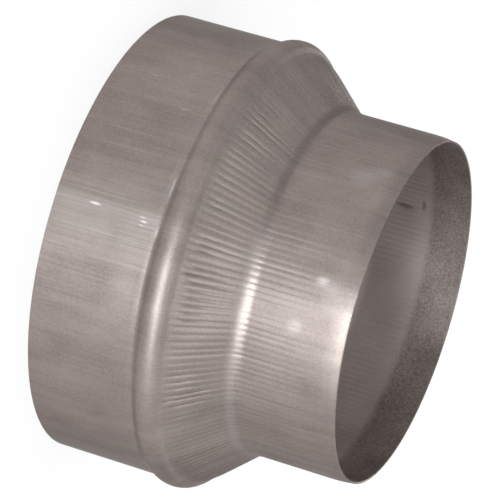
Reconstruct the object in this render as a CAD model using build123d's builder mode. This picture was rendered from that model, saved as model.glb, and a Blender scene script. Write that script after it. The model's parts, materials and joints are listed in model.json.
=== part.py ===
"""Duct reducer, pressed from one round of thin sheet metal.

It stands on the rim of its large collar, with its axis along +Z and the small collar up. The large
collar slips over a pipe and the small collar slips into one. Between them the sheet rises into a
rounded shoulder and falls along a cone. Fine flutes gather the cone, and die out on the small collar.
"""

import os
from math import asin, atan2, cos, degrees, hypot, pi, radians, sin, tan

from build123d import *

# Pipes that the reducer joins, and the sheet that it is made of
large_pipe_diameter = 127.0
small_pipe_diameter = 101.6
slip_clearance = 0.3
sheet_thickness = 0.5

# Lengths along the axis
large_collar_length = 30.7
transition_length = 24.8
small_collar_length = 30.5

# Shoulder bead between the large collar and the cone
flank_length = 1.8
flank_angle = radians(33.7)
crest_radius = 5.0

# Flutes: they start below the crest, reach full depth on the cone and die out on the small collar.
# The fluted sheet is pressed in a little below the plain sheet.
flute_count = 180
flute_depth = 0.3
flute_sink = 0.1
flute_lead_in = 1.6
flute_fade_in = 3.0
flute_fade_out = 19.0

# Outside radii of the two collars, and the levels at which the sheet changes direction
large_radius = large_pipe_diameter / 2 + slip_clearance + sheet_thickness
small_radius = small_pipe_diameter / 2 - slip_clearance
root_level = large_collar_length + transition_length
total_height = root_level + small_collar_length

# The cone is the line from the root that just touches the crest of the shoulder
crest_centre_radius = large_radius + flank_length * sin(flank_angle) - crest_radius * cos(flank_angle)
crest_centre_level = large_collar_length + flank_length * cos(flank_angle) + crest_radius * sin(flank_angle)
fall = crest_centre_radius - small_radius
run = root_level - crest_centre_level
cone_angle = atan2(fall, run) + asin(crest_radius / hypot(fall, run))

# Levels between which the sheet is fluted
flutes_start = crest_centre_level + crest_radius * sin(cone_angle) + flute_lead_in
flutes_end = root_level + flute_fade_out


def ring(level, radius, pitch_share=0):
    """Corners at one level and radius, one for each flute, turned on by a share of the flutes' pitch."""
    pitch = 2 * pi / flute_count
    turns = [(index + pitch_share) * pitch for index in range(flute_count)]
    return [Vector(radius * cos(turn), radius * sin(turn), level) for turn in turns]


def fluted_rings(inset):
    """Rings of corners along one wall of the fluted sheet, which lies an inset below the plain outside."""

    def cone_radius(level):
        return small_radius + (root_level - level) * tan(cone_angle) - inset / cos(cone_angle)

    full_level = flutes_start + flute_fade_in
    fold_level = root_level - inset * tan(cone_angle / 2)
    fold_radius = small_radius - inset
    valley_scale = 1 - flute_depth / small_radius
    between_ridges = 0.5
    return {
        "start": ring(flutes_start, cone_radius(flutes_start)),
        "top_ridge": ring(full_level, cone_radius(full_level)),
        "top_valley": ring(full_level, cone_radius(full_level) * valley_scale, between_ridges),
        "fold_ridge": ring(fold_level, fold_radius),
        "fold_valley": ring(fold_level, fold_radius * valley_scale, between_ridges),
        "end": ring(flutes_end, fold_radius),
    }


def fluted_facets(rings):
    """Flat facets of one fluted wall: each flute opens in a fan, runs down the cone and closes in a fan."""
    start, top_ridge, top_valley, fold_ridge, fold_valley, end = rings.values()
    for this in range(flute_count):
        after = (this + 1) % flute_count
        for tip, ridge, valley in ((start, top_ridge, top_valley), (end, fold_ridge, fold_valley)):
            yield tip[this], ridge[this], valley[this]
            yield tip[this], valley[this], tip[after]
            yield tip[after], valley[this], ridge[after]
        yield top_ridge[this], fold_ridge[this], fold_valley[this], top_valley[this]
        yield top_valley[this], fold_valley[this], fold_ridge[after], top_ridge[after]


# Fluted sheet: facets outside and inside, closed by a flat ring at each end
outer_rings = fluted_rings(flute_sink)
inner_rings = fluted_rings(flute_sink + sheet_thickness)
facets = [
    Face(Wire.make_polygon(corners))
    for rings in (outer_rings, inner_rings)
    for corners in fluted_facets(rings)
]
end_rings = [
    Face(Wire.make_polygon(outer_rings[place]), [Wire.make_polygon(inner_rings[place])])
    for place in ("start", "end")
]
fluted_sheet = Solid(Shell(facets + end_rings))

# Whole reducer: the plain sheet turned about the axis, with the fluted sheet set into it
with BuildPart() as reducer:
    with BuildSketch(Plane.XZ) as section:
        with BuildLine() as outside:
            large_collar = Line((large_radius, 0), (large_radius, large_collar_length))
            flank = PolarLine(large_collar @ 1, flank_length, degrees(pi / 2 - flank_angle))
            crest = JernArc(flank @ 1, flank % 1, crest_radius, degrees(flank_angle + cone_angle))
            cone = Line(crest @ 1, (small_radius, root_level))
            small_collar = Line(cone @ 1, (small_radius, total_height))
            offset(amount=sheet_thickness, side=Side.LEFT, kind=Kind.INTERSECTION)
        make_face()
    revolve(axis=Axis.Z)
    with BuildSketch(Plane.XY.offset(flutes_start)) as gap:
        Circle(large_radius)
    extrude(amount=flutes_end - flutes_start, mode=Mode.SUBTRACT)
    add(fluted_sheet)

reducer.part.label = "reducer"
os.makedirs("parts", exist_ok=True)
export_step(reducer.part, "parts/reducer.step")
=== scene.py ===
"""Pressed sheet, satin zinc finish and pale studio for a duct reducer, laid out as an add-on.

Run as a script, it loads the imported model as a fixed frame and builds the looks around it, in metres.
The reducer stands on its large rim, with its axis along +Z, and its front line faces -Y. Levels are
heights above the floor. Turns are measured round the axis from the front line, and grow towards +X.
"""

import json
from math import atan2, cos, hypot, pi, radians, sin
from random import Random
from typing import NamedTuple

import bmesh
import bpy
from bpy.props import FloatProperty, FloatVectorProperty, IntProperty, PointerProperty
from bpy.types import Operator, Panel, PropertyGroup
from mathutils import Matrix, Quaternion, Vector, noise


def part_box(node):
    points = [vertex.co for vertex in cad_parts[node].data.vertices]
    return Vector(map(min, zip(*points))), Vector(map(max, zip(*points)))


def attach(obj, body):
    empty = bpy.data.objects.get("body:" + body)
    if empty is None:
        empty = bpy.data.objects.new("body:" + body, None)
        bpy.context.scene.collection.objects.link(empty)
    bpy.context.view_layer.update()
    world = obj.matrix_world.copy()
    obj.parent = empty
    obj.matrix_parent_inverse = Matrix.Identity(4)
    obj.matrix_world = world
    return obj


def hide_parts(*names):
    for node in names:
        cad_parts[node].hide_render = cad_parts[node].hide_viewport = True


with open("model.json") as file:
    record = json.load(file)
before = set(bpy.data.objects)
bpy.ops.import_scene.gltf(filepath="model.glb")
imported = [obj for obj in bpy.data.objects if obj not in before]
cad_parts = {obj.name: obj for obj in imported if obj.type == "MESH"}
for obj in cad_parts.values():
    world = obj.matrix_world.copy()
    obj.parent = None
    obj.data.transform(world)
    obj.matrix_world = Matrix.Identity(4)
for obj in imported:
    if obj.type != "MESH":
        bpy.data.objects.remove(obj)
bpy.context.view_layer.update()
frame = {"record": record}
_, node_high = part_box("reducer")

bl_info = {
    "name": "Duct Reducer",
    "version": (1, 0, 0),
    "blender": (4, 5, 0),
    "location": "3D View > Sidebar > Reducer",
    "description": "Builds a fluted sheet-metal duct reducer and a pale studio round it",
    "category": "Add Mesh",
}

MILLIMETRE = 0.001
SHEET_THICKNESS = 0.5 * MILLIMETRE
LENGTH_DIGITS = 5
FEWEST_FLUTES = 12
SEED = 41
WHITE = (1, 1, 1)


class Mark(NamedTuple):
    """A small mark on the zinc: its place, how far it reaches each way, and how strongly it shows."""

    turn: float
    level: float
    width: float
    length: float
    strength: float


class Band(NamedTuple):
    """A stretch of levels or turns: where it starts, is full, begins to fade and ends."""

    start: float
    full: float
    fade: float
    end: float


class Corner(NamedTuple):
    """A corner of the section: its place, the length that its rounding takes up, and the segments of it."""

    radius: float
    level: float
    rounding: float = 0.0
    segments: int = 1


class Flute(NamedTuple):
    """One flute: how deep its crease is at each end of the cone, how far it leans, its start and end."""

    depth: float
    root_depth: float
    sideways: float
    start: float
    end: float


class Press(NamedTuple):
    """A stretch of flutes that was pressed harder or more lightly: its middle, its reach and the change."""

    turn: float
    reach: float
    change: float


class Weights(NamedTuple):
    """A middle value, and how strongly each kind of noise changes it."""

    middle: float = 0.0
    fine: float = 0.0
    broad: float = 0.0
    blotches: float = 0.0
    grain: float = 0.0


class Lamp(NamedTuple):
    """A square lamp: its name, its turn round the object, its angle above the floor and its size."""

    name: str
    turn: float
    height_angle: float
    size: float


# Angle from the front line to the X axis, from which the mesh's own angles are measured
FRONT_TO_X = pi / 2

# Columns of the mesh within one flute, the first of which lies in the crease
FLUTE_STEPS = 5

# Rows of the mesh between the corners of the section, as shares of each stretch
COLLAR_ROWS = (0.25, 0.5, 0.75)
CONE_ROWS = (0.0, 0.35, 0.7)
FADE_ROWS = (0.15, 0.4, 0.7, 1.0)

# Distance from each rim to the row beside it, in widths of the rim's bevel
BESIDE_RIM = 2

# Segments in the rounded corners of the section
FINE_SEGMENTS = 2
GROOVE_SEGMENTS = 3
CREST_SEGMENTS = 8
ROOT_SEGMENTS = 5

# Points closer than this are one, and edges bent more than this are sharp
MERGE_DISTANCE = 1e-6
SHARP_ANGLE = radians(40)

# How the flutes differ: cells and weight of the noise that groups them, and the spread of each draw
FLUTE_GROUPS = 5
GROUP_WEIGHT = 0.9
DEPTH_SPREAD = 0.7
LEAST_DEPTH = 0.2
SIDEWAYS_SPREAD = 0.25
START_SPREAD = (-0.0008, 0.0012)
END_SPREAD = (0.0, 0.010)

# Stretches of flutes that were pressed harder or more lightly
PRESSES = (
    Press(radians(-65), radians(22), -0.65),
    Press(radians(-34), radians(13), 0.70),
    Press(radians(5), radians(15), 0.70),
    Press(radians(24), radians(8), -0.20),
    Press(radians(41), radians(9), 0.90),
    Press(radians(66), radians(20), -0.60),
)

# Cells of the faint waves round one radius, and the length of one along the axis
WAVES_ROUND = 4
WAVE_LENGTH = 0.018

# Flat that the rolls left along the large collar, with a pale colour painted on and before it as a
# reflection: the turn of its edge, how far it pales before the edge, half the width of the edge, its reach
# beyond, and the share of its tone that comes before the edge
FLAT_TURN = radians(-5.6)
FLAT_LEAD = radians(14)
FLAT_EDGE = radians(0.9)
FLAT_REACH = radians(20)
FLAT_LEAD_SHARE = 0.45

# A dent that runs as x (1 - x)^2 is deepest by the inverse of this
DENT_SCALE = 27 / 4

# The sheet's second material slot
INSIDE_SLOT = 1

# Streaks: cells of noise round one radius and along one metre of the axis, and layers of finer noise
FINE_STREAKS = (150, 45, 3.0)
BROAD_STREAKS = (14, 18, 2.0)

# Spots: cells of noise in one metre each way, and layers of finer noise
BLOTCHES = (70.0, 3.0)
GRAIN = (1600.0, 1.0)

# Mean of the noise before it is set about zero
NOISE_MEAN = 0.5

# How noise shows in the colour, roughness and bumps of the zinc, and in the edges of its marks
OUTSIDE_TONE = Weights(middle=0.5, fine=0.8, broad=0.9, blotches=1.1, grain=0.9)
INSIDE_TONE = Weights(middle=0.75, blotches=0.7, grain=0.3)
DARK_TONE = Weights(middle=-0.5, grain=0.7)
ROUGHNESS_CHANGE = Weights(fine=0.15, blotches=0.12)
BUMPS = Weights(fine=1.0, grain=0.5)
# Noise in the painted reflection on the flat and in the painted shade at the root
FLAT_REFLECTION_TONE = Weights(middle=0.70, fine=1.2, blotches=1.2)
SHADE_TONE = Weights(middle=0.30, blotches=0.8)
RAGGED_EDGE = Weights(fine=1.0, blotches=1.5)

# Share of a mark's reach in which it shows in full, and how the bumps show
MARK_CORE = 0.2
BUMP_STRENGTH = 0.25
BUMP_DISTANCE = 0.00005

# Pale line under the shoulder, about the groove's level, and how pale it is all round and, as a painted
# highlight, more in front
PALE_LINE_LEVELS = Band(-0.0025, -0.0013, -0.0003, 0.0005)
PALE_LINE_FRONT = Band(radians(-26), radians(-12), radians(8), radians(30))
PALE_LINE_PALENESS = 0.01
PALE_LINE_FRONT_PALENESS = 0.05

# Root of the cone, about its level: painted shade on the left, painted highlight in front
ROOT_LEVELS = Band(-0.0024, -0.0006, 0.0, 0.0014)
ROOT_SHADED = Band(radians(-170), radians(-140), radians(-25), 0.0)
ROOT_HIGHLIGHT = Band(radians(-25), 0.0, radians(60), radians(100))
ROOT_HIGHLIGHT_PALENESS = 0.08

# Drawn-in lip, about the taper's level: painted shade on the left
LIP_LEVELS = (-0.0014, 0.0020)
LIP_SHADED = Band(radians(-70), radians(-45), radians(-8), radians(8))
LIP_SHADE = 0.16

# Lengths in which the gloss changes at the ends of the cone
GLOSS_START = 0.002
GLOSS_END = 0.004

# Levels between which the inside turns from bright to dark and mottled
DARK_START = 0.0725
DARK_FULL = 0.0755

# Marks on the outside: painted highlights and reflections (glints, lit strokes and bright patches), and
# faint streaks and scratches in the sheet
PAINTED_GLINTS_AND_SCRATCHES = (
    # Painted highlights: glints of small dents on the large collar and lit strokes on the groove line, and a
    # painted reflection at -40 degrees
    Mark(radians(-4.2), 0.0118, 0.0006, 0.0024, 0.90),
    Mark(radians(-4.1), 0.0262, 0.0004, 0.0016, 0.70),
    Mark(radians(-3.2), 0.0268, 0.0005, 0.0018, 0.90),
    Mark(radians(-2.2), 0.0264, 0.0004, 0.0016, 0.70),
    Mark(radians(-1.6), 0.0312, 0.0026, 0.0006, 0.35),
    Mark(radians(-13.4), 0.0313, 0.0045, 0.0005, 0.25),
    Mark(radians(-40.0), 0.0312, 0.0060, 0.0006, 0.10),
    # Faint streaks and scratches in the sheet
    Mark(radians(-7.1), 0.0140, 0.0003, 0.0150, 0.10),
    Mark(radians(-24.4), 0.0140, 0.0003, 0.0140, 0.08),
    Mark(radians(-19.8), 0.0150, 0.0003, 0.0140, 0.08),
    Mark(radians(-42.3), 0.0120, 0.0004, 0.0025, 0.15),
    Mark(radians(-34.2), 0.0247, 0.0004, 0.0025, 0.15),
    # Painted highlights and reflections: bright patches on the collars
    Mark(radians(12.9), 0.0260, 0.0040, 0.0050, 0.06),
    Mark(radians(-2.0), 0.0756, 0.0019, 0.0026, 0.24),
    Mark(radians(-1.6), 0.0772, 0.0034, 0.0056, 0.10),
    Mark(radians(3.0), 0.0795, 0.0050, 0.0040, 0.07),
    Mark(radians(13.6), 0.0711, 0.0034, 0.0030, 0.13),
    Mark(radians(-39.5), 0.0752, 0.0050, 0.0070, 0.09),
    Mark(radians(-43.5), 0.0790, 0.0036, 0.0050, 0.07),
)

# Dark dashes inside the small collar
DARK_MARKS = (
    Mark(radians(-142.9), 0.0653, 0.0009, 0.0030, 0.50),
    Mark(radians(-140.7), 0.0713, 0.0024, 0.0008, 0.45),
)

# Lamps and their distance from the middle of the object
LAMP_DISTANCE = 1.1
LAMPS = (
    Lamp("key", radians(18), radians(6), 0.28),
    Lamp("side", radians(40), radians(10), 0.30),
    Lamp("top", radians(32), radians(60), 0.60),
    Lamp("left", radians(-25), radians(45), 0.50),
    Lamp("left_flank", radians(-105), radians(50), 2.00),
    Lamp("right_flank", radians(105), radians(50), 2.00),
    Lamp("back", radians(150), radians(35), 0.50),
    Lamp("low_back", radians(-160), radians(12), 0.30),
)

# Floor and camera
FLOOR_RADIUS = 3.0
FLOOR_SEGMENTS = 96
CAMERA_PLACE = Vector((0, -0.9544, 0.3538))
CAMERA_AIM = Vector((-0.0047, 0.0110, 0.0329))
CAMERA_ROLL = radians(106.4)
SENSOR_WIDTH = 36
NEAREST_VIEW = 0.01


def mount_radius(name):
    """Radius of one of the record's mounts, in metres."""
    mount = next(mount for mount in frame["record"]["mounts"] if mount["name"] == name)
    return mount["dims"]["r_mm"] * MILLIMETRE


def length(name, description, default):
    """A size in metres that a user may change."""
    return FloatProperty(
        name=name,
        description=description,
        default=default,
        unit="LENGTH",
        subtype="DISTANCE",
        precision=LENGTH_DIGITS,
    )


def share(name, description, default):
    """A number from 0 to 1 that a user may change."""
    return FloatProperty(
        name=name, description=description, default=default, min=0, max=1, subtype="FACTOR"
    )


def colour(name, description, default):
    """A colour that a user may change, as linear light."""
    return FloatVectorProperty(
        name=name, description=description, default=default, size=3, min=0, max=1, subtype="COLOR"
    )


def power(name, description, default):
    """A lamp's power that a user may change."""
    return FloatProperty(name=name, description=description, default=default, min=0, unit="POWER")


class DuctSheetSizes(PropertyGroup):
    """Sizes of the pressed sheet, outside."""

    thickness: length("Sheet thickness", "Thickness of the sheet", SHEET_THICKNESS)
    height: length("Height", "Level of the small rim", node_high.z)
    large_radius: length(
        "Large collar radius",
        "Outside radius of the large collar",
        mount_radius("large_collar_bore") + SHEET_THICKNESS,
    )
    small_radius: length(
        "Small collar radius", "Outside radius of the small collar", mount_radius("small_collar_outside")
    )
    groove_level: length("Groove level", "Level of the groove under the shoulder", 0.0317)
    groove_depth: length("Groove depth", "Depth of the groove under the shoulder", 0.00005)
    groove_width: length("Groove width", "Length of the slope from the collar into the groove", 0.0012)
    groove_round: length("Groove rounding", "Length that each bend of the groove takes up", 0.0006)
    shoulder_level: length("Shoulder level", "Level at which the flank and the cone would meet", 0.0362)
    shoulder_radius: length("Shoulder radius", "Radius at which the flank and the cone would meet", 0.06744)
    shoulder_round: length("Shoulder rounding", "Length of flank and cone that the crest takes up", 0.0038)
    line_level: length("Bead line level", "Level of the line where the crest ends", 0.0402)
    line_depth: length("Bead line depth", "Depth of the line where the crest ends", 0.0004)
    line_fall: length("Bead line fall", "Height of the slope from the crest into the line", 0.0009)
    line_rise: length("Bead line rise", "Height of the slope from the line to the cone", 0.0036)
    line_round: length("Bead line rounding", "Length that each bend of the bead line takes up", 0.00025)
    root_level: length("Root level", "Level at which the cone meets the small collar", 0.0555)
    root_round: length("Root rounding", "Length of cone and collar that the root takes up", 0.0026)
    taper_level: length("Taper level", "Level from which the small collar draws in", 0.0820)
    taper_round: length("Taper rounding", "Length of collar that the start of the taper takes up", 0.0018)
    lip_level: length("Lip level", "Level from which the taper steepens into the lip", 0.0846)
    lip_taper: length("Lip taper", "Amount by which the collar is drawn in at the lip", 0.00028)
    lip_round: length("Lip rounding", "Length of the taper that the bend of the lip takes up", 0.0007)
    rim_taper: length("Rim taper", "Amount by which the collar is drawn in at the rim", 0.00044)
    rim_round: length("Rim rounding", "Width of the bevel on the cut edges", 0.00012)
    flat_depth: length("Flat depth", "Depth of the flat along the large collar", 0.00014)
    waviness: length("Waviness", "Depth of the faint waves left in the sheet", 0.00005)


class DuctFluteSizes(PropertyGroup):
    """Sizes of the flutes that gather the cone."""

    count: IntProperty(
        name="Flutes", description="Number of flutes round the cone", default=180, min=FEWEST_FLUTES
    )
    depth: length("Flute depth", "Depth of a full crease", 0.00028)
    sharpness: FloatProperty(
        name="Sharpness", description="How narrow the creases are beside the lands", default=1.6, min=1
    )
    swell: share("Swell", "Height of the lands between the creases, as a share of the depth", 0.5)
    start: length("Flute start", "Level at which the flutes begin below the crest", 0.0404)
    fade_in: length("Flute fade in", "Length in which a flute reaches its depth", 0.0013)
    root_share: share("Root share", "Depth of a crease at the root, as a share of the full depth", 0.32)
    root_reach: length("Root reach", "Length before and after the root in which flutes grow shallow", 0.0025)
    root_softness: share("Root softness", "How much of its depth a flute loses in the root", 0.5)
    fade_out: length("Flute fade out", "Length in which a flute dies out on the small collar", 0.0050)
    end: length("Flute end", "Level at which the flutes have died out", 0.0760)
    unevenness: share("Unevenness", "How much the flutes differ from each other", 0.45)


class DuctFinish(PropertyGroup):
    """Colours and gloss of the zinc on the sheet."""

    dull: colour("Dull zinc", "Colour of the dull parts of the zinc outside", (0.215, 0.177, 0.165))
    bright: colour("Bright zinc", "Colour of the bright parts of the zinc outside", (0.325, 0.272, 0.254))
    # Colour of the painted reflection on the large collar's flat
    pale: colour("Pale zinc", "Colour of the pale flat along the large collar", (0.400, 0.352, 0.335))
    # Colour of the painted glints, highlights and reflections, and of the real scratches
    glint_and_scuff: colour("Scuffed zinc", "Colour of the scuffs on the zinc", (0.85, 0.82, 0.80))
    # Colour of the painted shade at the root and the lip, and of the dark dashes inside
    shade_and_dashes: colour("Grime", "Colour of the shade that settles in the root", (0.060, 0.050, 0.047))
    dull_inside: colour("Dull zinc inside", "Colour of the zinc inside the small rim", (0.175, 0.145, 0.135))
    # Paler than the zinc outside: painted light deep inside the sheet
    painted_light_inside: colour("Bright zinc inside", "Colour of the zinc deep inside", (0.465, 0.40, 0.381))
    edge: share("Edge brightness", "How bright the zinc is where it is seen at a slant", 0.45)
    plain_roughness: share("Plain roughness", "Mean roughness of the large collar", 0.37)
    crest_roughness: share("Crest roughness", "Mean roughness of the crest of the shoulder", 0.52)
    burnished_roughness: share("Burnished roughness", "Mean roughness of the small collar", 0.46)
    fluted_roughness: share("Fluted roughness", "Mean roughness of the fluted cone", 0.36)
    inside_roughness: share("Inside roughness", "Mean roughness of the zinc inside", 0.58)


class DuctStage(PropertyGroup):
    """Floor, light and camera."""

    floor: colour("Floor", "Colour of the floor", (0.95, 0.95, 0.95))
    floor_glow: share("Floor brightness", "Share of plain white in what the floor shows", 0.78)
    sky: colour("Surroundings", "Colour of the light from all round", (0.70, 0.70, 0.70))
    light: colour("Lamps", "Colour of all the lamps", (0.92, 0.99, 1.00))
    key: power("Key light", "Power of the low front light", 7.6)
    side: power("Side light", "Power of the low light on the right", 3.6)
    top: power("Top light", "Power of the high front light", 1.45)
    left: power("Left light", "Power of the raised light on the left", 0.45)
    left_flank: power("Left flank light", "Power of the broad light on the left", 1.7)
    right_flank: power("Right flank light", "Power of the broad light on the right", 3.8)
    back: power("Back light", "Power of the raised light behind", 1.2)
    low_back: power("Low back light", "Power of the low light behind", 2.6)
    lens: FloatProperty(name="Lens", description="Focal length of the camera", default=253.9, unit="CAMERA")


class Socket:
    """A node's output. Arithmetic on it adds Math nodes to its tree."""

    def __init__(self, shader, output):
        self.shader = shader
        self.output = output

    def __add__(self, other):
        return self.shader.maths("ADD", self, other)

    def __radd__(self, other):
        return self.shader.maths("ADD", other, self)

    def __sub__(self, other):
        return self.shader.maths("SUBTRACT", self, other)

    def __rsub__(self, other):
        return self.shader.maths("SUBTRACT", other, self)

    def __mul__(self, other):
        return self.shader.maths("MULTIPLY", self, other)

    def __rmul__(self, other):
        return self.shader.maths("MULTIPLY", other, self)


class Shader:
    """An emptied node tree, and the ways to fill it."""

    def __init__(self, tree):
        self.tree = tree
        tree.nodes.clear()

    def add(self, kind, settings=None, sockets=None, output=None):
        """Adds a node, with its settings first and then the values or links of its sockets."""
        node = self.tree.nodes.new(kind)
        for name, value in (settings or {}).items():
            setattr(node, name, value)
        inputs = {socket.identifier: socket for socket in node.inputs}
        for name, value in (sockets or {}).items():
            if isinstance(value, Socket):
                self.tree.links.new(value.output, inputs[name])
            else:
                inputs[name].default_value = value
        outputs = [socket for socket in node.outputs if socket.enabled and output in (None, socket.name)]
        return Socket(self, outputs[0]) if outputs else None

    def maths(self, operation, first, second):
        """A Math node on two values."""
        return self.add(
            "ShaderNodeMath", {"operation": operation}, {"Value": first, "Value_001": second}
        )

    def vector(self, operation, first, second=(0, 0, 0)):
        """A Vector Math node on one or two vectors."""
        return self.add(
            "ShaderNodeVectorMath", {"operation": operation}, {"Vector": first, "Vector_001": second}
        )

    def mix(self, factor, first, second):
        """A colour between two colours."""
        return self.add(
            "ShaderNodeMix",
            {"data_type": "RGBA"},
            {"Factor_Float": factor, "A_Color": first, "B_Color": second},
        )

    def noise(self, place, scale, detail):
        """Smooth noise about zero, from -0.5 to 0.5."""
        cells = self.add("ShaderNodeTexNoise", {}, {"Vector": place, "Scale": scale, "Detail": detail})
        return cells - NOISE_MEAN

    def ramp(self, value, start, end):
        """0 up to the start, 1 from the end on."""
        return self.add(
            "ShaderNodeMapRange",
            {"interpolation_type": "SMOOTHSTEP"},
            {"Value": value, "From Min": start, "From Max": end, "To Min": 0.0, "To Max": 1.0},
        )

    def band(self, value, band, centre=0.0):
        """1 within a band about a centre, 0 outside it."""
        rise = self.ramp(value, centre + band.start, centre + band.full)
        return rise - self.ramp(value, centre + band.fade, centre + band.end)


def opaque(rgb):
    """A colour with its alpha."""
    return (*rgb, 1.0)


class Zinc(Shader):
    """A satin zinc material for sheet turned about the Z axis, with streaks along the axis."""

    def __init__(self, name, edge):
        self.material = bpy.data.materials.new(name)
        self.material.use_nodes = True
        super().__init__(self.material.node_tree)
        self.edge = edge
        self.place = self.add("ShaderNodeTexCoord", output="Object")
        right, back, self.level = (
            self.add("ShaderNodeSeparateXYZ", sockets={"Vector": self.place}, output=axis) for axis in "XYZ"
        )
        self.turn = self.maths("ARCTAN2", right, -1 * back)
        self.outward = self.vector("NORMALIZE", self.vector("MULTIPLY", self.place, (1, 1, 0)))
        self.fine = self.streaks(*FINE_STREAKS)
        self.broad = self.streaks(*BROAD_STREAKS)
        self.blotches = self.noise(self.place, *BLOTCHES)
        self.grain = self.noise(self.place, *GRAIN)

    def streaks(self, across, along, detail):
        """Noise with so many cells round one radius and along one metre of the axis."""
        height = self.add("ShaderNodeCombineXYZ", sockets={"Z": self.level * along})
        stretched = self.vector("ADD", self.vector("MULTIPLY", self.outward, (across, across, 0)), height)
        return self.noise(stretched, 1.0, detail)

    def noisy(self, weights):
        """A value about the weights' middle, changed by each kind of noise."""
        value = weights.middle
        for kind in ("fine", "broad", "blotches", "grain"):
            weight = getattr(weights, kind)
            if weight:
                value = value + weight * getattr(self, kind)
        return value

    def marks(self, marks, radius_at):
        """How strongly a set of marks shows, with ragged edges."""
        ragged = self.noisy(RAGGED_EDGE)
        shown = 0.0
        for mark in marks:
            radius = radius_at(mark.level)
            centre = (radius * sin(mark.turn), -radius * cos(mark.turn), mark.level)
            away = self.vector("SUBTRACT", self.place, centre)
            in_reach = self.vector("MULTIPLY", away, (1 / mark.width, 1 / mark.width, 1 / mark.length))
            distance = self.vector("LENGTH", in_reach) + ragged
            shown = shown + mark.strength * (1 - self.ramp(distance, MARK_CORE, 1.0))
        return shown

    def finished(self, base, roughness):
        """The material, with its colour and mean roughness."""
        normal = self.add(
            "ShaderNodeBump",
            {},
            {"Strength": BUMP_STRENGTH, "Distance": BUMP_DISTANCE, "Height": self.noisy(BUMPS)},
        )
        surface = self.add(
            "ShaderNodeBsdfPrincipled",
            {},
            {
                "Base Color": base,
                "Metallic": 1.0,
                "Roughness": roughness + self.noisy(ROUGHNESS_CHANGE),
                "Specular Tint": (self.edge, self.edge, self.edge, 1.0),
                "Normal": normal,
            },
        )
        self.add("ShaderNodeOutputMaterial", {}, {"Surface": surface})
        return self.material


def outside_material(finish, sizes):
    """Zinc outside: a pale flat on the large collar painted as a reflection, a pale line under the shoulder
    with a painted highlight in front, painted shade and a painted highlight at the root, painted shade on
    the lip, and small marks, mostly painted glints.
    """
    zinc = Zinc("zinc_outside", finish.edge)
    glint_and_scuff = opaque(finish.glint_and_scuff)
    base = zinc.mix(zinc.noisy(OUTSIDE_TONE), opaque(finish.dull), opaque(finish.bright))

    # Painted shade in the root on the left, and a painted highlight on the root in front
    in_root = zinc.band(zinc.level, ROOT_LEVELS, sizes.root_level)
    shade = in_root * zinc.band(zinc.turn, ROOT_SHADED)
    base = zinc.mix(shade * zinc.noisy(SHADE_TONE), base, opaque(finish.shade_and_dashes))
    root_highlight = in_root * zinc.band(zinc.turn, ROOT_HIGHLIGHT)
    base = zinc.mix(ROOT_HIGHLIGHT_PALENESS * root_highlight, base, glint_and_scuff)

    # Painted shade over the drawn-in lip on the left
    lip_start, lip_full = (sizes.taper_level + offset for offset in LIP_LEVELS)
    lip = zinc.ramp(zinc.level, lip_start, lip_full) * zinc.band(zinc.turn, LIP_SHADED)
    base = zinc.mix(LIP_SHADE * lip, base, opaque(finish.shade_and_dashes))

    # Pale line under the shoulder: faint all round, and stronger in front as a painted highlight
    pale_line = zinc.band(zinc.level, PALE_LINE_LEVELS, sizes.groove_level)
    pale_line_front = zinc.band(zinc.turn, PALE_LINE_FRONT)
    base = zinc.mix(pale_line * (PALE_LINE_PALENESS + PALE_LINE_FRONT_PALENESS * pale_line_front), base, glint_and_scuff)

    # Painted reflection: the pale colour on and before the flat of the large collar
    lead = zinc.ramp(zinc.turn, FLAT_TURN - FLAT_LEAD, FLAT_TURN)
    edge = zinc.ramp(zinc.turn, FLAT_TURN - FLAT_EDGE, FLAT_TURN + FLAT_EDGE)
    past = zinc.ramp(zinc.turn, FLAT_TURN, FLAT_TURN + FLAT_REACH)
    on_collar = 1 - zinc.ramp(zinc.level, sizes.groove_level - sizes.groove_width, sizes.groove_level)
    flat = on_collar * (FLAT_LEAD_SHARE * lead + (1 - FLAT_LEAD_SHARE) * edge) * (1 - past)
    base = zinc.mix(flat * zinc.noisy(FLAT_REFLECTION_TONE), base, opaque(finish.pale))

    def radius_at(level):
        return sizes.large_radius if level < sizes.root_level else sizes.small_radius

    # Painted glints and bright patches, and real scratches and streaks
    base = zinc.mix(zinc.marks(PAINTED_GLINTS_AND_SCRATCHES, radius_at), base, glint_and_scuff)

    past_groove = zinc.ramp(zinc.level, sizes.groove_level, sizes.shoulder_level)
    past_line = zinc.ramp(zinc.level, sizes.line_level, sizes.line_level + GLOSS_START)
    near_root = zinc.ramp(zinc.level, sizes.root_level - GLOSS_END, sizes.root_level)
    roughness = (
        finish.plain_roughness
        + (finish.crest_roughness - finish.plain_roughness) * past_groove
        + (finish.fluted_roughness - finish.crest_roughness) * past_line
        + (finish.burnished_roughness - finish.fluted_roughness) * near_root
    )
    return zinc.finished(base, roughness)


def inside_material(finish, sizes):
    """Zinc inside: bright and plain deep down, dark and mottled towards the small rim. The zinc deep down is
    paler than the zinc outside, as painted light.
    """
    zinc = Zinc("zinc_inside", finish.edge)
    dark = zinc.ramp(zinc.level, DARK_START, DARK_FULL)
    tone = zinc.noisy(INSIDE_TONE) + dark * zinc.noisy(DARK_TONE)
    # The paler colour deep inside is painted light
    base = zinc.mix(tone, opaque(finish.dull_inside), opaque(finish.painted_light_inside))
    inner_radius = sizes.small_radius - sizes.thickness
    base = zinc.mix(zinc.marks(DARK_MARKS, lambda level: inner_radius), base, opaque(finish.shade_and_dashes))
    return zinc.finished(base, finish.inside_roughness)


def limited(value):
    """A value held between 0 and 1."""
    return min(1.0, max(0.0, value))


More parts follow.
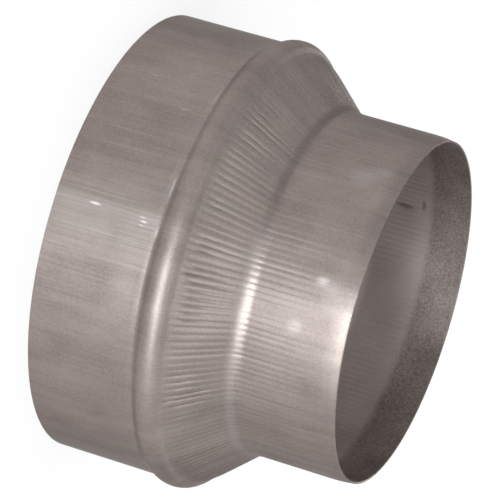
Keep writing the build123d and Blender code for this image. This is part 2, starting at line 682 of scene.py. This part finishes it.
def draw_section(bm, sizes, flutes):
    """Draws the outside of the sheet as a line in the XZ plane, from the large rim to the small one."""

    def on_cone(level):
        along = (level - sizes.shoulder_level) / (sizes.root_level - sizes.shoulder_level)
        before_line = (sizes.line_level - level) / sizes.line_fall
        past_line = (level - sizes.line_level) / sizes.line_rise
        dip = sizes.line_depth * limited(1 - max(before_line, past_line))
        return sizes.shoulder_radius + along * (sizes.small_radius - sizes.shoulder_radius) - dip

    beside_rim = BESIDE_RIM * sizes.rim_round
    collar_rows = [beside_rim, *(sizes.groove_level * part for part in COLLAR_ROWS)]
    line_start = sizes.line_level - sizes.line_fall
    line_end = sizes.line_level + sizes.line_rise
    cone_length = sizes.root_level - line_end
    cone_rows = [flutes.start + flutes.fade_in, *(line_end + cone_length * part for part in CONE_ROWS)]
    fade_rows = [sizes.root_level + (flutes.end - sizes.root_level) * part for part in FADE_ROWS]
    rim_radius = sizes.small_radius - sizes.rim_taper
    corners = [
        Corner(sizes.large_radius, 0),
        *(Corner(sizes.large_radius, level) for level in collar_rows),
        Corner(
            sizes.large_radius, sizes.groove_level - sizes.groove_width, sizes.groove_round, FINE_SEGMENTS
        ),
        Corner(
            sizes.large_radius - sizes.groove_depth, sizes.groove_level, sizes.groove_round, GROOVE_SEGMENTS
        ),
        Corner(sizes.shoulder_radius, sizes.shoulder_level, sizes.shoulder_round, CREST_SEGMENTS),
        Corner(on_cone(line_start), line_start, sizes.line_round),
        Corner(on_cone(sizes.line_level), sizes.line_level, sizes.line_round, FINE_SEGMENTS),
        *(Corner(on_cone(level), level) for level in cone_rows),
        Corner(sizes.small_radius, sizes.root_level, sizes.root_round, ROOT_SEGMENTS),
        *(Corner(sizes.small_radius, level) for level in fade_rows),
        Corner(sizes.small_radius, sizes.taper_level, sizes.taper_round, GROOVE_SEGMENTS),
        Corner(sizes.small_radius - sizes.lip_taper, sizes.lip_level, sizes.lip_round, FINE_SEGMENTS),
        Corner(rim_radius, sizes.height - beside_rim),
        Corner(rim_radius, sizes.height),
    ]
    verts = [bm.verts.new((corner.radius, 0, corner.level)) for corner in corners]
    for start, end in zip(verts, verts[1:]):
        bm.edges.new((start, end))
    for vert, corner in zip(verts, corners):
        if corner.rounding:
            bmesh.ops.bevel(
                bm, geom=[vert], offset=corner.rounding, offset_type="OFFSET", affect="VERTICES",
                segments=corner.segments, profile=0.5, material=-1,
            )


def turn_section(bm, count):
    """Turns the section through one flute, then repeats that strip all round the axis."""
    pitch = 2 * pi / count
    about = {"cent": (0, 0, 0), "axis": (0, 0, 1)}
    bmesh.ops.spin(bm, geom=bm.verts[:] + bm.edges[:], angle=pitch, steps=FLUTE_STEPS, **about)
    strip = bm.verts[:] + bm.edges[:] + bm.faces[:]
    bmesh.ops.spin(bm, geom=strip, angle=2 * pi - pitch, steps=count - 1, use_duplicate=True, **about)
    bmesh.ops.remove_doubles(bm, verts=bm.verts[:], dist=MERGE_DISTANCE)
    bmesh.ops.recalc_face_normals(bm, faces=bm.faces[:])


def uneven_flutes(flutes):
    """The flutes in order round the axis, each a little different."""
    draw = Random(SEED)
    spread = flutes.unevenness
    pitch = 2 * pi / flutes.count
    for index in range(flutes.count):
        around = FLUTE_GROUPS * Vector((cos(index * pitch), sin(index * pitch), 0))
        change = GROUP_WEIGHT * noise.noise(around) + draw.uniform(-DEPTH_SPREAD, DEPTH_SPREAD)
        plain_depth = flutes.depth * max(LEAST_DEPTH, 1 + spread * change)
        pressed = 1.0
        for press in PRESSES:
            away = (index * pitch + FRONT_TO_X - press.turn + pi) % (2 * pi) - pi
            pressed += press.change * limited(1 - (away / press.reach) ** 2)
        yield Flute(
            depth=pressed * plain_depth,
            root_depth=flutes.root_share * plain_depth,
            sideways=pitch * spread * draw.uniform(-SIDEWAYS_SPREAD, SIDEWAYS_SPREAD),
            start=flutes.start + spread * draw.uniform(*START_SPREAD),
            end=flutes.end - spread * draw.uniform(*END_SPREAD),
        )


def dent_depth(turn, level, sizes):
    """Depth of the faint waves and of the flat, at one point of the sheet."""
    place = Vector((WAVES_ROUND * sin(turn), -WAVES_ROUND * cos(turn), level / WAVE_LENGTH))
    wave = sizes.waviness * abs(noise.noise(place))
    past_edge = ((turn - FLAT_TURN) % (2 * pi)) / FLAT_REACH
    if level > sizes.groove_level or past_edge > 1:
        return wave
    return wave + sizes.flat_depth * DENT_SCALE * past_edge * (1 - past_edge) ** 2


def press_sheet(bm, sizes, flutes):
    """Presses the flutes into the turned sheet, and leaves it faintly wavy."""
    ring = list(uneven_flutes(flutes))
    pitch = 2 * pi / flutes.count
    for vert in bm.verts:
        level = vert.co.z
        angle = atan2(vert.co.y, vert.co.x)
        column = round(angle / pitch * FLUTE_STEPS) % (flutes.count * FLUTE_STEPS)
        index, step = divmod(column, FLUTE_STEPS)
        part = step / FLUTE_STEPS
        this, after = ring[index], ring[(index + 1) % flutes.count]
        flute = Flute(*(here + part * (there - here) for here, there in zip(this, after)))

        rise = limited((level - flute.start) / flutes.fade_in)
        fall = limited((flute.end - level) / flutes.fade_out)
        past_root = level - sizes.root_level
        in_root = 1 - limited(abs(past_root) / flutes.root_reach)
        along = limited((level - flutes.start) / (sizes.root_level - flutes.start))
        depth = flute.depth + along * (flute.root_depth - flute.depth)
        strength = rise * fall * (1 - flutes.root_softness * in_root)
        swell = flutes.swell * limited(-past_root / flutes.root_reach)
        crease = (1 - sin(pi * part)) ** flutes.sharpness
        pressed = depth * strength * (crease - swell) + dent_depth(angle + FRONT_TO_X, level, sizes)

        radius = hypot(vert.co.x, vert.co.y) - pressed
        leaned = angle + flute.sideways * min(rise, fall)
        vert.co = Vector((radius * cos(leaned), radius * sin(leaned), level))


def thicken_sheet(bm, sizes):
    """Gives the sheet its thickness, marks its inside and rounds the cut edges of both rims."""
    outside = set(bm.faces)
    made = bmesh.ops.solidify(bm, geom=bm.faces[:], thickness=sizes.thickness)["geom"]
    inside = {face for face in made if isinstance(face, bmesh.types.BMFace)}
    for face in inside:
        face.material_index = INSIDE_SLOT
    walls = outside | inside
    cut_edges = [edge for edge in bm.edges if len({face in walls for face in edge.link_faces}) > 1]
    bmesh.ops.bevel(
        bm, geom=cut_edges, offset=sizes.rim_round, offset_type="OFFSET", affect="EDGES",
        segments=1, profile=0.5, material=-1,
    )
    for face in bm.faces:
        face.smooth = True


class DUCT_OT_form_sheet(Operator):
    """Forms the sheet: turns its section about the axis, presses the flutes and gives it thickness."""

    bl_idname = "duct.form_sheet"
    bl_label = "Form Sheet"

    def execute(self, context):
        scene = context.scene
        sizes = scene.duct_sheet
        flutes = scene.duct_flutes
        bm = bmesh.new()
        draw_section(bm, sizes, flutes)
        turn_section(bm, flutes.count)
        press_sheet(bm, sizes, flutes)
        thicken_sheet(bm, sizes)
        mesh = bpy.data.meshes.new("reducer_sheet")
        bm.to_mesh(mesh)
        bm.free()
        mesh.set_sharp_from_angle(angle=SHARP_ANGLE)
        mesh.materials.append(outside_material(scene.duct_finish, sizes))
        mesh.materials.append(inside_material(scene.duct_finish, sizes))
        piece = bpy.data.objects.new("reducer_sheet", mesh)
        scene.collection.objects.link(piece)
        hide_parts("reducer")
        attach(piece, "root")
        return {"FINISHED"}


def add_floor(scene, stage):
    """A white floor that still takes the object's shadow."""
    bm = bmesh.new()
    bmesh.ops.create_circle(bm, cap_ends=True, segments=FLOOR_SEGMENTS, radius=FLOOR_RADIUS)
    mesh = bpy.data.meshes.new("floor")
    bm.to_mesh(mesh)
    bm.free()
    material = bpy.data.materials.new("pale_floor")
    material.use_nodes = True
    shader = Shader(material.node_tree)
    matt = shader.add("ShaderNodeBsdfDiffuse", {}, {"Color": opaque(stage.floor)})
    white = shader.add("ShaderNodeEmission", {}, {"Color": opaque(WHITE), "Strength": 1.0})
    seen = (
        shader.add("ShaderNodeLightPath", output="Is Camera Ray")
        + shader.add("ShaderNodeLightPath", output="Is Glossy Ray")
        + shader.add("ShaderNodeLightPath", output="Is Transmission Ray")
    )
    mixed = shader.add(
        "ShaderNodeMixShader", {}, {"Fac": seen * stage.floor_glow, "Shader": matt, "Shader_001": white}
    )
    shader.add("ShaderNodeOutputMaterial", {}, {"Surface": mixed})
    mesh.materials.append(material)
    floor = bpy.data.objects.new("floor", mesh)
    scene.collection.objects.link(floor)


def add_sky(scene, stage):
    """Plain light from all round."""
    world = bpy.data.worlds.new("studio")
    world.use_nodes = True
    shader = Shader(world.node_tree)
    sky = shader.add("ShaderNodeBackground", {}, {"Color": opaque(stage.sky), "Strength": 1.0})
    shader.add("ShaderNodeOutputWorld", {}, {"Surface": sky})
    scene.world = world


def add_lamp(scene, stage, lamp):
    """A square lamp that looks at the middle of the object."""
    middle = Vector((0, 0, node_high.z / 2))
    level_share = cos(lamp.height_angle)
    away = Vector((sin(lamp.turn) * level_share, -cos(lamp.turn) * level_share, sin(lamp.height_angle)))
    light = bpy.data.lights.new(lamp.name, "AREA")
    light.shape = "SQUARE"
    light.size = lamp.size
    light.energy = getattr(stage, lamp.name)
    light.color = stage.light
    holder = bpy.data.objects.new(lamp.name, light)
    holder.location = middle + LAMP_DISTANCE * away
    holder.rotation_mode = "QUATERNION"
    holder.rotation_quaternion = away.to_track_quat("Z", "Y")
    scene.collection.objects.link(holder)


def add_camera(scene, stage):
    """The camera at the photograph's viewing angle, rolled so that the reducer lies on its side."""
    camera = bpy.data.cameras.new("camera")
    camera.lens = stage.lens
    camera.sensor_width = SENSOR_WIDTH
    camera.clip_start = NEAREST_VIEW
    holder = bpy.data.objects.new("camera", camera)
    holder.location = CAMERA_PLACE
    holder.rotation_mode = "QUATERNION"
    level_view = (CAMERA_AIM - CAMERA_PLACE).to_track_quat("-Z", "Y")
    holder.rotation_quaternion = level_view @ Quaternion((0, 0, 1), CAMERA_ROLL)
    scene.collection.objects.link(holder)
    scene.camera = holder


class DUCT_OT_set_stage(Operator):
    """Sets the stage: a pale floor, plain light, the lamps and the camera."""

    bl_idname = "duct.set_stage"
    bl_label = "Set Stage"

    def execute(self, context):
        scene = context.scene
        stage = scene.duct_stage
        add_floor(scene, stage)
        add_sky(scene, stage)
        for lamp in LAMPS:
            add_lamp(scene, stage, lamp)
        add_camera(scene, stage)
        scene.view_settings.view_transform = "Standard"
        return {"FINISHED"}


class DUCT_PT_reducer(Panel):
    """Lists the reducer's sizes, colours and steps."""

    bl_idname = "DUCT_PT_reducer"
    bl_label = "Duct Reducer"
    bl_space_type = "VIEW_3D"
    bl_region_type = "UI"
    bl_category = "Reducer"

    def draw(self, context):
        for name in GROUPS:
            group = getattr(context.scene, name)
            box = self.layout.box()
            for prop in group.__annotations__:
                box.prop(group, prop)
        for step in STEPS:
            self.layout.operator(step.bl_idname)


GROUPS = {
    "duct_sheet": DuctSheetSizes,
    "duct_flutes": DuctFluteSizes,
    "duct_finish": DuctFinish,
    "duct_stage": DuctStage,
}
STEPS = (DUCT_OT_form_sheet, DUCT_OT_set_stage)
CLASSES = (*GROUPS.values(), *STEPS, DUCT_PT_reducer)


def register():
    """Adds the classes, and the property groups to the scene."""
    for made in CLASSES:
        bpy.utils.register_class(made)
    for name, group in GROUPS.items():
        setattr(bpy.types.Scene, name, PointerProperty(type=group))


def unregister():
    """Takes them away again."""
    for name in GROUPS:
        delattr(bpy.types.Scene, name)
    for made in reversed(CLASSES):
        bpy.utils.unregister_class(made)


def main():
    """Builds the reducer and its stage."""
    register()
    bpy.ops.duct.form_sheet()
    bpy.ops.duct.set_stage()


if __name__ == "__main__":
    main()
